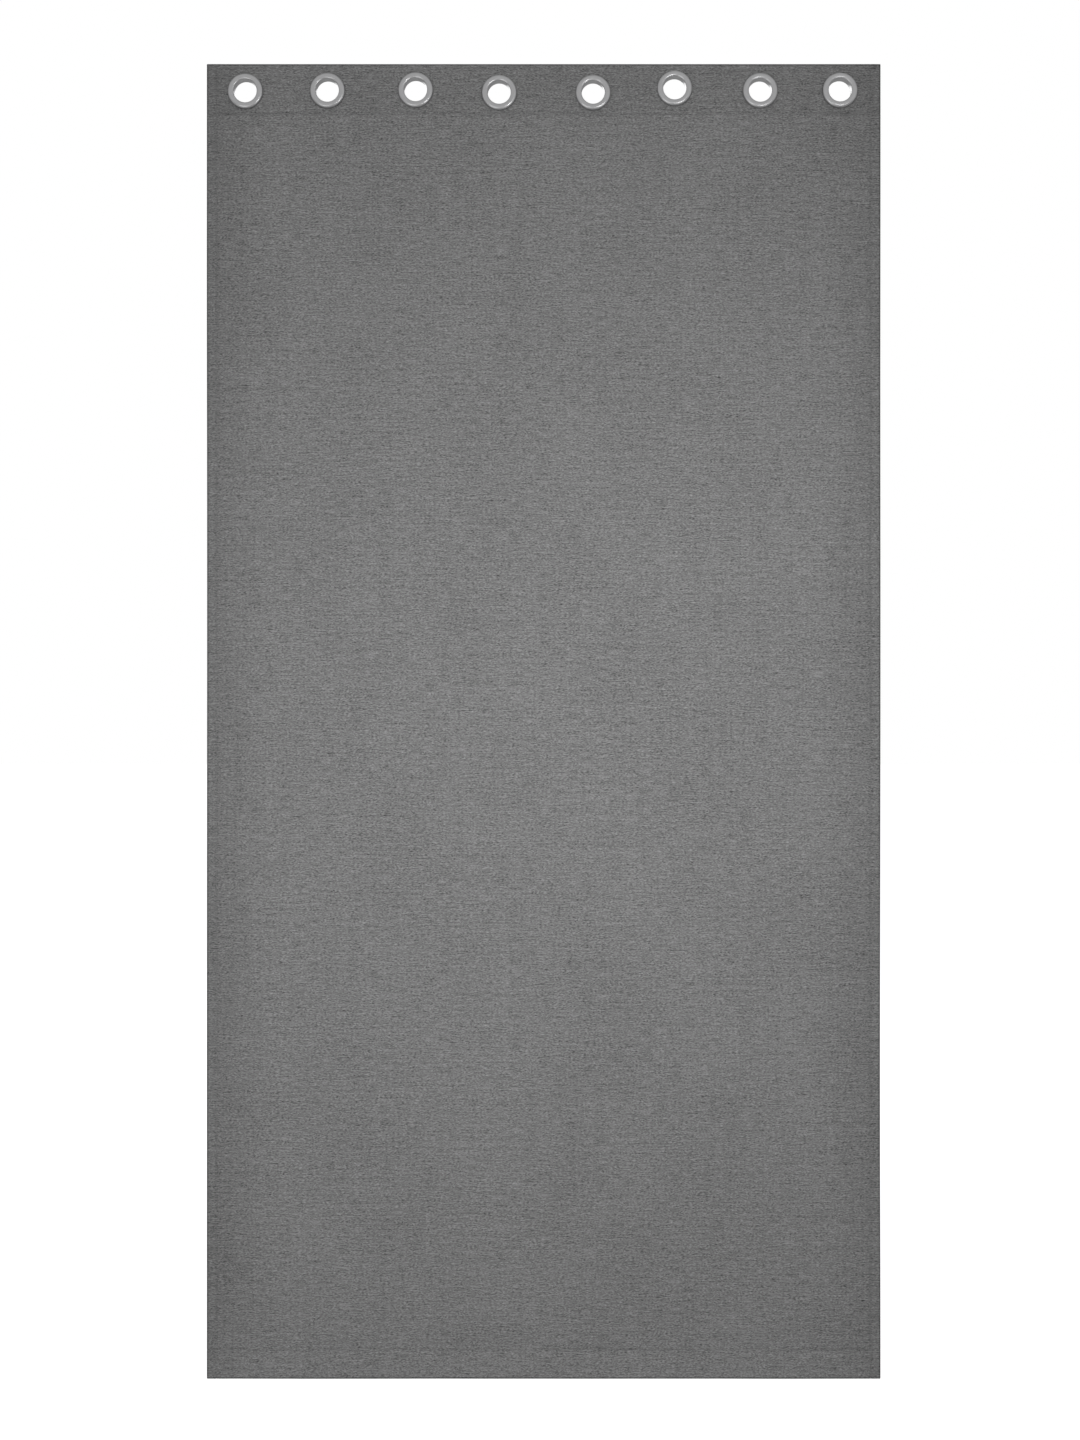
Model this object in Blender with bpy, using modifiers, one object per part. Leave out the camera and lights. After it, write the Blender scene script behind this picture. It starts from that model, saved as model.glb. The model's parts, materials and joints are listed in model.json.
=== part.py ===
"""Fabric room curtain panel that hangs from a rod by eight snap-in eyelets.

The panel lies in the XZ plane: +X is to the right seen from the room, +Y points
to the back (towards the window) and +Z is up. The origin is the middle of the
eyelet row, on the line where the rod runs. Between each two eyelets the cloth
folds like an accordion, so the panel is eight strips joined by seven fold lines:
the odd folds close the strips back to back, and the even ones front to front.
All sizes are in metres.
"""
import math

import bmesh
import bpy
from mathutils import Matrix

# Panel
PANEL_WIDTH = 1.170          # side edge to side edge
PANEL_DROP = 2.283           # top edge to bottom edge
SECTION_GAP = 0.0006         # slit between two strips, at a fold line

# Cloth layers, counted from the room side to the back
CLOTH_THICKNESS = 0.0006
STIFFENER_THICKNESS = 0.0005
LAYER_GAP = 0.0003
CLOTH_ABOVE_RING = 0.017     # top edge to the eyelet rings
CLOTH_BELOW_RING = 0.0105    # eyelet rings to the lower edge of the heading
STIFFENER_INSET = 0.0030     # below the top edge, and above the heading's lower edge
BOTTOM_HEM_DEPTH = 0.052
SIDE_HEM_WIDTH = 0.019

# Eyelets
EYELET_COUNT = 8
EYELET_INSET = 0.06875       # side edge to the centre of the first eyelet
EYELET_BORE_R = 0.0200
RING_WIDTH = 0.0105          # bore to outer edge
SHELL_THICKNESS = 0.0006     # pressed sheet of the rings and the barrel
FRONT_RISE = 0.0050          # crest of the room-side ring, above the face cloth
BACK_RISE = 0.0060           # crest of the snap ring, above the back of the heading
OUTER_RIM = 0.0006           # straight rim where a dome meets the cloth
INNER_RIM = 0.0022           # straight wall of a dome along the bore
BARREL_PROUD = 0.0052        # barrel end, beyond the back of the heading
EYELET_CLEARANCE = 0.0003    # barrel to cloth, barrel to snap ring, ring to cloth
RING_SEGMENTS = 24
DOME_STEPS = 6

# Where each eyelet was punched, off its even place: right, up
EYELET_DRIFT = (
    (-0.0015, -0.0005),
    (-0.0065, 0.0005),
    (-0.0010, 0.0015),
    (-0.0035, -0.0030),
    (0.0120, -0.0030),
    (0.0060, 0.0045),
    (0.0070, 0.0005),
    (-0.0020, 0.0010),
)

# Colour, roughness and metallic value of each finish
CLOTH_FINISH = ("grey_cloth", (0.19, 0.19, 0.19), 0.92, 0.0)
STIFFENER_FINISH = ("white_buckram", (0.75, 0.74, 0.70), 0.85, 0.0)
EYELET_FINISH = ("satin_silver", (0.55, 0.55, 0.56), 0.35, 1.0)

# Worked out from the sizes above
EYELET_OUTER_R = EYELET_BORE_R + RING_WIDTH
TOP_Z = EYELET_OUTER_R + CLOTH_ABOVE_RING
BOTTOM_Z = TOP_Z - PANEL_DROP
HEADING_LOW_Z = -EYELET_OUTER_R - CLOTH_BELOW_RING
HEM_HIGH_Z = BOTTOM_Z + BOTTOM_HEM_DEPTH
HALF_WIDTH = PANEL_WIDTH / 2
FACE_BACK_Y = CLOTH_THICKNESS
HEM_FRONT_Y = FACE_BACK_Y + LAYER_GAP
HEM_BACK_Y = HEM_FRONT_Y + CLOTH_THICKNESS
STIFFENER_BACK_Y = HEM_FRONT_Y + STIFFENER_THICKNESS
TURN_FRONT_Y = STIFFENER_BACK_Y + LAYER_GAP
TURN_BACK_Y = TURN_FRONT_Y + CLOTH_THICKNESS
BARREL_OUTER_R = EYELET_BORE_R + SHELL_THICKNESS
CUT_R = BARREL_OUTER_R + EYELET_CLEARANCE


def clear_scene():
    """Remove every object, so that the script can be run again."""
    for obj in list(bpy.data.objects):
        bpy.data.objects.remove(obj, do_unlink=True)


def make_collection(name):
    """A new collection in the scene."""
    collection = bpy.data.collections.new(name)
    bpy.context.scene.collection.children.link(collection)
    return collection


def make_material(finish):
    """A Principled material from a (name, colour, roughness, metallic) finish."""
    name, colour, roughness, metallic = finish
    material = bpy.data.materials.new(name)
    material.use_nodes = True
    shader = material.node_tree.nodes["Principled BSDF"]
    shader.inputs["Base Color"].default_value = (*colour, 1.0)
    shader.inputs["Roughness"].default_value = roughness
    shader.inputs["Metallic"].default_value = metallic
    material.diffuse_color = (*colour, 1.0)
    return material


def eyelet_centres():
    """(x, z) of each eyelet's axis, from left to right."""
    pitch = (PANEL_WIDTH - 2 * EYELET_INSET) / (EYELET_COUNT - 1)
    centres = []
    for i in range(EYELET_COUNT):
        right, up = EYELET_DRIFT[i % len(EYELET_DRIFT)]
        centres.append((EYELET_INSET - HALF_WIDTH + i * pitch + right, up))
    return centres


def fold_lines(centres):
    """x of each fold line, midway between two eyelets so that their bores line up."""
    return [(a[0] + b[0]) / 2 for a, b in zip(centres, centres[1:])]


class Curtain:
    """The parts and cutters collections, the finishes and the folding strips."""

    def __init__(self):
        self.parts = make_collection("curtain_panel")
        self.cutters = make_collection("cutters")
        self.cloth = make_material(CLOTH_FINISH)
        self.buckram = make_material(STIFFENER_FINISH)
        self.silver = make_material(EYELET_FINISH)
        self.hinges = []

    def add_hinge(self, name, x, y):
        """An empty on a strip's fold line, which turns the strip and all after it."""
        empty = bpy.data.objects.new(name, None)
        empty.empty_display_size = 0.05
        self.parts.objects.link(empty)
        if self.hinges:
            last, last_x, last_y = self.hinges[-1]
            empty.parent = last
            empty.location = (x - last_x, y - last_y, 0.0)
        else:
            empty.location = (x, y, 0.0)
        self.hinges.append((empty, x, y))

    def add_part(self, name, mesh, place, material):
        """A named piece of the last strip, with its own origin at place."""
        mesh.materials.append(material)
        obj = bpy.data.objects.new(name, mesh)
        self.parts.objects.link(obj)
        empty, hinge_x, hinge_y = self.hinges[-1]
        obj.parent = empty
        obj.location = (place[0] - hinge_x, place[1] - hinge_y, place[2])
        return obj

    def add_layer(self, name, low, high, material):
        """One flat layer of cloth or buckram between two corners."""
        size = [b - a for a, b in zip(low, high)]
        centre = [(a + b) / 2 for a, b in zip(low, high)]
        bm = bmesh.new()
        bmesh.ops.create_cube(bm, size=1.0, matrix=Matrix.Diagonal((*size, 1.0)))
        mesh = bpy.data.meshes.new(name)
        bm.to_mesh(mesh)
        bm.free()
        return self.add_part(name, mesh, centre, material)

    def add_punch(self, name, x, z):
        """The round cutter that punches one eyelet's hole through every layer."""
        length = 4 * TURN_BACK_Y
        turn = Matrix.Rotation(math.pi / 2, 4, "X")
        bm = bmesh.new()
        bmesh.ops.create_cone(bm, cap_ends=True, segments=RING_SEGMENTS,
                              radius1=CUT_R, radius2=CUT_R, depth=length, matrix=turn)
        mesh = bpy.data.meshes.new(name)
        bm.to_mesh(mesh)
        bm.free()
        punch = bpy.data.objects.new(name, mesh)
        self.cutters.objects.link(punch)
        empty, hinge_x, hinge_y = self.hinges[-1]
        punch.parent = empty
        punch.location = (x - hinge_x, TURN_BACK_Y / 2 - hinge_y, z)
        punch.hide_render = True
        punch.display_type = "WIRE"
        return punch

    def add_turned(self, name, profile, place):
        """A pressed ring turned from its outer skin's (radius, height) points.

        Height points to the room, and the sheet's thickness goes inwards.
        """
        mesh = bpy.data.meshes.new(name)
        points = [(radius, 0.0, height) for radius, height in profile]
        edges = [(i, i + 1) for i in range(len(points) - 1)]
        mesh.from_pydata(points, edges, [])
        obj = self.add_part(name, mesh, place, self.silver)
        obj.rotation_euler = (math.pi / 2, 0.0, 0.0)
        screw = obj.modifiers.new("turn", "SCREW")
        screw.angle = 2 * math.pi
        screw.steps = RING_SEGMENTS
        screw.render_steps = RING_SEGMENTS
        screw.use_merge_vertices = True
        screw.merge_threshold = 0.00001
        screw.use_smooth_shade = True
        sheet = obj.modifiers.new("sheet", "SOLIDIFY")
        sheet.thickness = SHELL_THICKNESS
        sheet.offset = -1.0
        sheet.use_even_offset = True
        return obj


def dome_points(inner, outer, base, crest):
    """A rounded ring on straight rims, from the outer edge over the crest to the inner edge."""
    middle = (inner + outer) / 2
    reach = (outer - inner) / 2
    up = math.copysign(1.0, crest - base)
    arc = []
    for i in range(DOME_STEPS + 1):
        angle = math.pi * i / DOME_STEPS
        rim = OUTER_RIM if 2 * i < DOME_STEPS else INNER_RIM
        shoulder = base + up * rim
        height = shoulder + (crest - shoulder) * math.sin(angle)
        arc.append((middle + reach * math.cos(angle), height))
    return [(outer, base)] + arc + [(inner, base)]


def front_profile():
    """Room-side ring and its barrel, with height 0 on the face cloth's front."""
    dome = dome_points(EYELET_BORE_R, EYELET_OUTER_R, EYELET_CLEARANCE, FRONT_RISE)
    barrel_end = (EYELET_BORE_R, -(TURN_BACK_Y + BARREL_PROUD))
    return [barrel_end] + list(reversed(dome[:-1]))


def back_profile():
    """Snap ring behind the heading; its dome points to the window."""
    base = -(TURN_BACK_Y + EYELET_CLEARANCE)
    crest = -(TURN_BACK_Y + BACK_RISE)
    return dome_points(CUT_R, EYELET_OUTER_R, base, crest)


def punch_through(layers, punch):
    """Cut the eyelet's hole through each layer."""
    for layer in layers:
        cut = layer.modifiers.new("eyelet hole", "BOOLEAN")
        cut.operation = "DIFFERENCE"
        cut.solver = "EXACT"
        cut.object = punch


def build_strip(curtain, number, left, right, centre):
    """All the layers and the eyelet of one strip, between its two side edges."""
    x, z = centre
    face = curtain.add_layer(
        f"face_cloth_{number}",
        (left, 0.0, BOTTOM_Z),
        (right, FACE_BACK_Y, TOP_Z),
        curtain.cloth,
    )
    stiffener = curtain.add_layer(
        f"heading_stiffener_{number}",
        (left, HEM_FRONT_Y, HEADING_LOW_Z + STIFFENER_INSET),
        (right, STIFFENER_BACK_Y, TOP_Z - STIFFENER_INSET),
        curtain.buckram,
    )
    turn = curtain.add_layer(
        f"heading_turn_{number}",
        (left, TURN_FRONT_Y, HEADING_LOW_Z),
        (right, TURN_BACK_Y, TOP_Z),
        curtain.cloth,
    )
    curtain.add_layer(
        f"bottom_hem_{number}",
        (left, HEM_FRONT_Y, BOTTOM_Z),
        (right, HEM_BACK_Y, HEM_HIGH_Z),
        curtain.cloth,
    )
    punch = curtain.add_punch(f"punch_{number}", x, z)
    punch_through((face, stiffener, turn), punch)
    curtain.add_turned(f"eyelet_front_{number}", front_profile(), (x, 0.0, z))
    curtain.add_turned(f"eyelet_back_{number}", back_profile(), (x, 0.0, z))


def build_side_hem(curtain, name, left, right):
    """A side edge's turned-in layer, between the bottom hem and the heading."""
    curtain.add_layer(
        name,
        (left, HEM_FRONT_Y, HEM_HIGH_Z + LAYER_GAP),
        (right, HEM_BACK_Y, HEADING_LOW_Z - LAYER_GAP),
        curtain.cloth,
    )


def build():
    """The whole panel, strip by strip from left to right."""
    clear_scene()
    curtain = Curtain()
    centres = eyelet_centres()
    folds = fold_lines(centres)
    slit = SECTION_GAP / 2
    lefts = [-HALF_WIDTH] + [x + slit for x in folds]
    rights = [x - slit for x in folds] + [HALF_WIDTH]
    curtain.add_hinge("pleat_1_frame", 0.0, 0.0)
    for i, centre in enumerate(centres):
        number = i + 1
        if i > 0:
            closes_backs = i % 2 == 1
            axis_y = TURN_BACK_Y if closes_backs else 0.0
            curtain.add_hinge(f"fold_{i}_axis", folds[i - 1], axis_y)
        build_strip(curtain, number, lefts[i], rights[i], centre)
        if i == 0:
            build_side_hem(curtain, "side_hem_left", lefts[i], lefts[i] + SIDE_HEM_WIDTH)
        if number == EYELET_COUNT:
            build_side_hem(curtain, "side_hem_right", rights[i] - SIDE_HEM_WIDTH, rights[i])


build()
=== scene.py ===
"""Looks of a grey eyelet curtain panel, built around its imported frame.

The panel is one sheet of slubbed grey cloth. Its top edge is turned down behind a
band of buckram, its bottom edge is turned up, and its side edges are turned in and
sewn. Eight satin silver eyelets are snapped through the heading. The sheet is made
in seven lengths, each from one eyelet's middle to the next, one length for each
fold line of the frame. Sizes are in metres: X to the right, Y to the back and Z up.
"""
import json
import logging
import math
from dataclasses import dataclass, field
from enum import Enum
from typing import ClassVar

import bpy
import numpy as np
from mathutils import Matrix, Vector

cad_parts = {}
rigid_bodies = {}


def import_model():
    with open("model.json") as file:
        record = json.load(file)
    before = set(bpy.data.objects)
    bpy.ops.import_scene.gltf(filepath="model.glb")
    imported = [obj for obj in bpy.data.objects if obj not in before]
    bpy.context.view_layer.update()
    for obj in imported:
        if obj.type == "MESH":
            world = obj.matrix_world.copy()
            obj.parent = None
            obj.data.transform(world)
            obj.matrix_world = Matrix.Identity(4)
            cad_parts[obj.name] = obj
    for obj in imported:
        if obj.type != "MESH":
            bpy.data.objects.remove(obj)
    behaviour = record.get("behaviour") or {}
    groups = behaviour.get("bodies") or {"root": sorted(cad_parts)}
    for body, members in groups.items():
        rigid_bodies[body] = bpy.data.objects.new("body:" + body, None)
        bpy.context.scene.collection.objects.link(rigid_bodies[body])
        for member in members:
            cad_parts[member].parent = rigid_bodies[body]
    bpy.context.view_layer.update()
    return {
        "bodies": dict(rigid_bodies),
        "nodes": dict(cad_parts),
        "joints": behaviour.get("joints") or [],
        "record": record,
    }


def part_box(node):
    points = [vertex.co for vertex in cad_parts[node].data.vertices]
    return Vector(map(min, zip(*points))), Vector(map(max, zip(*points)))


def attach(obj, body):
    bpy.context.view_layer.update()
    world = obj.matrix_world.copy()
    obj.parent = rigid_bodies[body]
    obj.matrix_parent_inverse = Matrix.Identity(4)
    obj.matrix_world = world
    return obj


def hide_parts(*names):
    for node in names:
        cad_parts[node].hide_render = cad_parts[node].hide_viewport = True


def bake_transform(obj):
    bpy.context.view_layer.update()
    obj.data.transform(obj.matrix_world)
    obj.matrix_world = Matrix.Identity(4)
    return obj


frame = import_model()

WEAVE_MAP = "weave"
MM = 0.001
FULL_TURN = 2 * math.pi

Socket = bpy.types.NodeSocket
Piece = bpy.types.Object
Place = tuple[float, float, float]

log = logging.getLogger("curtain")


class Layer(Enum):
    """The layers of the folded sheet, from the room side to the back."""

    FACE = "face_cloth"
    HEM = "bottom_hem"
    TURN = "heading_turn"


class Side(Enum):
    """A side edge of the panel, with the way that points into the panel."""

    LEFT = 1.0
    RIGHT = -1.0


@dataclass(frozen=True)
class PanelSizes:
    """Places of the panel's edges, layers, eyelets and fold lines, all from the frame."""

    left: float
    right: float
    top: float
    bottom: float
    heading_low: float
    hem_high: float
    side_hem: float
    face_y: float
    hem_y: float
    buckram_y: float
    turn_y: float
    cloth: float
    buckram: float
    buckram_low: float
    buckram_high: float
    bore: float
    ring_outer: float
    barrel_outer: float
    eyelets: tuple[tuple[float, float], ...]
    folds: tuple[float, ...]
    axes_y: tuple[float, ...]
    snap_gap: ClassVar[float] = 0.3 * MM
    punch_slack: ClassVar[float] = 0.35 * MM

    @staticmethod
    def _bore(node: str, centre: tuple[float, float]) -> float:
        """Radius of a ring's bore, at its point nearest to the ring's own middle."""
        points = (vertex.co for vertex in frame["nodes"][node].data.vertices)
        return min(math.hypot(p.x - centre[0], p.z - centre[1]) for p in points)

    @classmethod
    def from_frame(cls, loaded: dict) -> "PanelSizes":
        """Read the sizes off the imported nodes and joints.


        Returns:
            The panel's sizes.
        """
        count = len(loaded["bodies"])
        face_low, face_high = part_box("face_cloth_1")
        last_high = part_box(f"face_cloth_{count}")[1]
        hem_low, hem_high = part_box("bottom_hem_1")
        turn_low, turn_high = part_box("heading_turn_1")
        buckram_low, buckram_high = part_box("heading_stiffener_1")
        side_low, side_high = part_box("side_hem_left")
        centres = []
        for number in range(1, count + 1):
            low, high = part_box(f"eyelet_front_{number}")
            centres.append(((low.x + high.x) / 2, (low.z + high.z) / 2))
        ring_low, ring_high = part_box("eyelet_front_1")
        return cls(
            left=face_low.x,
            right=last_high.x,
            top=face_high.z,
            bottom=face_low.z,
            heading_low=turn_low.z,
            hem_high=hem_high.z,
            side_hem=side_high.x - side_low.x,
            face_y=(face_low.y + face_high.y) / 2,
            hem_y=(hem_low.y + hem_high.y) / 2,
            buckram_y=(buckram_low.y + buckram_high.y) / 2,
            turn_y=(turn_low.y + turn_high.y) / 2,
            cloth=face_high.y - face_low.y,
            buckram=buckram_high.y - buckram_low.y,
            buckram_low=buckram_low.z,
            buckram_high=buckram_high.z,
            bore=cls._bore("eyelet_front_1", centres[0]),
            ring_outer=(ring_high.x - ring_low.x) / 2,
            barrel_outer=cls._bore("eyelet_back_1", centres[0]) - cls.snap_gap,
            eyelets=tuple(centres),
            folds=tuple(joint["pos_m"][0] for joint in loaded["joints"]),
            axes_y=tuple(joint["pos_m"][1] for joint in loaded["joints"]),
        )

    @property
    def lengths(self) -> range:
        """Numbers of the sheet's lengths, one for each fold line."""
        return range(1, len(self.folds) + 1)

    def is_last(self, number: int) -> bool:
        """Whether a length is the one at the right edge."""
        return number == len(self.folds)

    def edge(self, side: Side) -> float:
        """The x of one side edge."""
        return self.left if side is Side.LEFT else self.right

    def end_body(self, side: Side) -> str:
        """The body that carries one side edge."""
        return "pleat_1" if side is Side.LEFT else f"pleat_{len(self.eyelets)}"

    def span(self, number: int) -> tuple[float, float]:
        """Left and right end of one length of the sheet.

        Args:
            number: the length's number, from 1.

        Returns:
            The two x values; the first and last length reach the panel's edges.
        """
        start = self.left if number == 1 else self.eyelets[number - 1][0]
        end = self.right if self.is_last(number) else self.eyelets[number][0]
        return start, end

    def punched(self, number: int) -> list[tuple[float, float]]:
        """Centres of the eyelets that one length of the sheet holds or meets."""
        return [self.eyelets[number - 1], self.eyelets[number]]


# ---- small tools


def deselect_all() -> None:
    """Leave every object deselected and none active."""
    for obj in bpy.context.selected_objects:
        obj.select_set(False)
    bpy.context.view_layer.objects.active = None


def make_active(obj: Piece) -> None:
    """Select one object alone.

    Args:
        obj: the piece.
    """
    deselect_all()
    obj.select_set(True)
    bpy.context.view_layer.objects.active = obj


def apply_modifier(obj: Piece, kind: str, **settings: object) -> None:
    """Add a modifier with its settings, and apply it.

    Args:
        obj: the piece.
        kind: Blender's name for the modifier.
        settings: the modifier's own values.
    """
    make_active(obj)
    modifier = obj.modifiers.new(kind.lower(), kind)
    for key, value in settings.items():
        setattr(modifier, key, value)
    bpy.ops.object.modifier_apply(modifier=modifier.name)


def finish_piece(obj: Piece, name: str, material: bpy.types.Material, angle: float) -> None:
    """Name a piece, give it its one material and shade it.

    Args:
        obj: the piece.
        name: its name in the scene.
        material: its finish.
        angle: edges sharper than this, in degrees, stay sharp.
    """
    obj.name = name
    obj.data.name = name
    obj.data.materials.clear()
    obj.data.materials.append(material)
    make_active(obj)
    bpy.ops.object.shade_smooth_by_angle(angle=math.radians(angle))
    obj.select_set(False)


def drop_object(obj: Piece) -> None:
    """Remove a helper object and its mesh.

    Args:
        obj: the helper.
    """
    mesh = obj.data
    bpy.data.objects.remove(obj)
    bpy.data.meshes.remove(mesh)


def graded(start: float, stop: float, step: float,
           knots: tuple[float, ...], near: tuple[float, ...]) -> np.ndarray:
    """Places from start to stop, a step apart, with closer ones about each knot.

    Args:
        start: the first place.
        stop: the last place, above or below start.
        step: the plain spacing.
        knots: places that get closer rows.
        near: the distances from a knot at which rows are laid.

    Returns:
        The places in order from start to stop.
    """
    low, high = min(start, stop), max(start, stop)
    close = {low, high}
    for knot in knots:
        for reach in near:
            close.update(x for x in (knot - reach, knot + reach) if low < x < high)
    reach = max(near)
    count = max(1, round((high - low) / step))
    for x in np.linspace(low, high, count + 1):
        if all(abs(x - knot) > reach + step / 2 for knot in knots):
            close.add(float(x))
    places = sorted(close)
    kept = [places[0]]
    for x in places[1:]:
        if x - kept[-1] > 0.05 * MM:
            kept.append(x)
    return np.array(kept if start < stop else kept[::-1])


def new_grid(columns: int, rows: int) -> tuple[Piece, np.ndarray, np.ndarray]:
    """Add a grid whose points are still to be laid in place.

    Args:
        columns: how many points it has across.
        rows: how many it has up.

    Returns:
        The grid, and the column and row of each of its points.
    """
    deselect_all()
    bpy.ops.mesh.primitive_grid_add(x_subdivisions=columns - 1, y_subdivisions=rows - 1, size=2.0)
    obj = bpy.context.active_object
    flat = np.zeros(len(obj.data.vertices) * 3)
    obj.data.vertices.foreach_get("co", flat)
    share = (flat.reshape(-1, 3) + 1) / 2
    column = np.rint(share[:, 0] * (columns - 1)).astype(int)
    row = np.rint(share[:, 1] * (rows - 1)).astype(int)
    return obj, column, row


def lay_grid(obj: Piece, points: tuple[np.ndarray, ...], weave: tuple[np.ndarray, np.ndarray]) -> None:
    """Lay a grid's points in place and store the weave's own map.

    Args:
        obj: the grid.
        points: the x, y and z of its points.
        weave: each point's place on the flat cloth, across and up, in metres.
    """
    mesh = obj.data
    mesh.vertices.foreach_set("co", np.stack(points, 1).ravel())
    while mesh.uv_layers:
        mesh.uv_layers.remove(mesh.uv_layers[0])
    layer = mesh.uv_layers.new(name=WEAVE_MAP)
    corner = np.zeros(len(mesh.loops), int)
    mesh.loops.foreach_get("vertex_index", corner)
    layer.uv.foreach_set("vector", np.stack(weave, 1)[corner].ravel())


def punch_eyelets(piece: Piece, sizes: PanelSizes, number: int) -> None:
    """Cut the round holes of one length's eyelets through all its layers.

    Args:
        piece: the length of cloth or buckram.
        sizes: the panel's sizes.
        number: the length's number, from 1.
    """
    for x, z in sizes.punched(number):
        deselect_all()
        bpy.ops.mesh.primitive_cylinder_add(
            vertices=64, radius=sizes.barrel_outer + sizes.punch_slack, depth=12 * MM,
            location=(x, 0.0, z), rotation=(math.pi / 2, 0.0, 0.0))
        punch = bpy.context.active_object
        apply_modifier(piece, "BOOLEAN", operation="DIFFERENCE", solver="EXACT", object=punch)
        drop_object(punch)


def bend(piece: Piece) -> None:
    """Bake a piece's transform into its mesh.

    Args:
        piece: the finished piece.
    """
    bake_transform(piece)


# ---- finishes


class NodeBoard:
    """A new material and short calls that add and join its nodes."""

    def __init__(self, name: str) -> None:
        """Make the material with its Principled shader.

        Args:
            name: the material's name.
        """
        self.material = bpy.data.materials.new(name)
        self.material.use_nodes = True
        self.tree = self.material.node_tree
        self.shader = self.tree.nodes["Principled BSDF"]

    def set_shader(self, **values: object) -> None:
        """Set the shader's own sockets; an underscore stands for a space."""
        for key, value in values.items():
            self.shader.inputs[key.replace("_", " ")].default_value = value

    def put(self, socket: Socket, value: object) -> None:
        """Link or set one input socket.

        Args:
            socket: the input.
            value: the output that feeds it, or its fixed value.
        """
        if isinstance(value, Socket):
            self.tree.links.new(value, socket)
        else:
            socket.default_value = value

    def coordinates(self, source: str = "") -> Socket:
        """The piece's own map of that name, or its Object coordinates.

        Args:
            source: the map's name, empty for Object coordinates.

        Returns:
            The coordinates' socket.
        """
        if source:
            node = self.tree.nodes.new("ShaderNodeUVMap")
            node.uv_map = source
            return node.outputs["UV"]
        return self.tree.nodes.new("ShaderNodeTexCoord").outputs["Object"]

    def split(self, vector: Socket) -> tuple[Socket, ...]:
        """The X, Y and Z of a vector.

        Args:
            vector: the vector's socket.

        Returns:
            The three sockets.
        """
        node = self.tree.nodes.new("ShaderNodeSeparateXYZ")
        self.put(node.inputs[0], vector)
        return tuple(node.outputs)

    def join(self, x: object, y: object, z: object = 0.0) -> Socket:
        """A vector of three values.

        Args:
            x: the first number or socket.
            y: the second.
            z: the third.

        Returns:
            The vector's socket.
        """
        node = self.tree.nodes.new("ShaderNodeCombineXYZ")
        for socket, value in zip(node.inputs, (x, y, z)):
            self.put(socket, value)
        return node.outputs[0]

    def math(self, operation: str, a: object, b: object = 0.0, c: object = 0.0) -> Socket:
        """One step of arithmetic on numbers.

        Args:
            operation: Blender's name for it, such as MULTIPLY_ADD.
            a: the first number or socket.
            b: the second.
            c: the third, where the operation has one.

        Returns:
            The result's socket.
        """
        node = self.tree.nodes.new("ShaderNodeMath")
        node.operation = operation
        for socket, value in zip(node.inputs, (a, b, c)):
            self.put(socket, value)
        return node.outputs[0]

    def noise(self, place: Socket, scale: Place, detail: float, roughness: float = 0.5) -> Socket:
        """Soft noise, from 0 to 1.

        Args:
            place: where it is read.
            scale: features to the metre along each axis.
            detail: how many finer octaves it holds.
            roughness: how strong the finer octaves are.

        Returns:
            The noise's socket.
        """
        stretch = self.tree.nodes.new("ShaderNodeVectorMath")
        stretch.operation = "MULTIPLY"
        self.put(stretch.inputs[0], place)
        stretch.inputs[1].default_value = scale
        node = self.tree.nodes.new("ShaderNodeTexNoise")
        node.inputs["Scale"].default_value = 1.0
        node.inputs["Detail"].default_value = detail
        node.inputs["Roughness"].default_value = roughness
        self.put(node.inputs["Vector"], stretch.outputs[0])
        return node.outputs[0]

    def about(self, noise: Socket, strength: float, base: object) -> Socket:
        """A base value raised and lowered as a noise leaves its middle."""
        return self.math("MULTIPLY_ADD", self.math("SUBTRACT", noise, 0.5), strength, base)

    def distance(self, lines: list[tuple[Socket, float]]) -> Socket:
        """The distance to the nearest of some lines.

        Args:
            lines: each line's axis and its value on that axis.

        Returns:
            The distance's socket.
        """
        nearest = None
        for value, line in lines:
            gap = self.math("ABSOLUTE", self.math("SUBTRACT", value, line))
            nearest = gap if nearest is None else self.math("MINIMUM", nearest, gap)
        return nearest

    def ramp(self, value: Socket, low: float, high: float, to_low: float, to_high: float) -> Socket:
        """A value from one range carried smoothly to another, and clamped.

        Args:
            value: the socket to carry over.
            low: where the first range begins.
            high: where it ends.
            to_low: the result at low.
            to_high: the result at high.

        Returns:
            The result's socket.
        """
        node = self.tree.nodes.new("ShaderNodeMapRange")
        node.interpolation_type = "SMOOTHSTEP"
        for socket, number in zip(node.inputs, (value, low, high, to_low, to_high)):
            self.put(socket, number)
        return node.outputs[0]

    def product(self, *values: Socket) -> Socket:
        """Some values multiplied together.

        Args:
            values: the sockets.

        Returns:
            The result's socket.
        """
        total = values[0]
        for value in values[1:]:
            total = self.math("MULTIPLY", total, value)
        return total

    def tint(self, colour: tuple[float, float, float], tone: Socket) -> None:
        """Set the base colour to one colour times a tone.

        Args:
            colour: the colour at tone 1.
            tone: how light it is.
        """
        node = self.tree.nodes.new("ShaderNodeVectorMath")
        node.operation = "SCALE"
        node.inputs[0].default_value = colour
        self.put(node.inputs["Scale"], tone)
        self.put(self.shader.inputs["Base Color"], node.outputs[0])

    def bump(self, height: Socket, distance: float, strength: float) -> None:
        """Raise the surface by a height.

        Args:
            height: the relief, from 0 to 1.
            distance: how far it is raised, in metres.
            strength: how much of that shows.
        """
        node = self.tree.nodes.new("ShaderNodeBump")
        node.inputs["Strength"].default_value = strength
        node.inputs["Distance"].default_value = distance
        self.put(node.inputs["Height"], height)
        self.put(self.shader.inputs["Normal"], node.outputs["Normal"])


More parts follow.
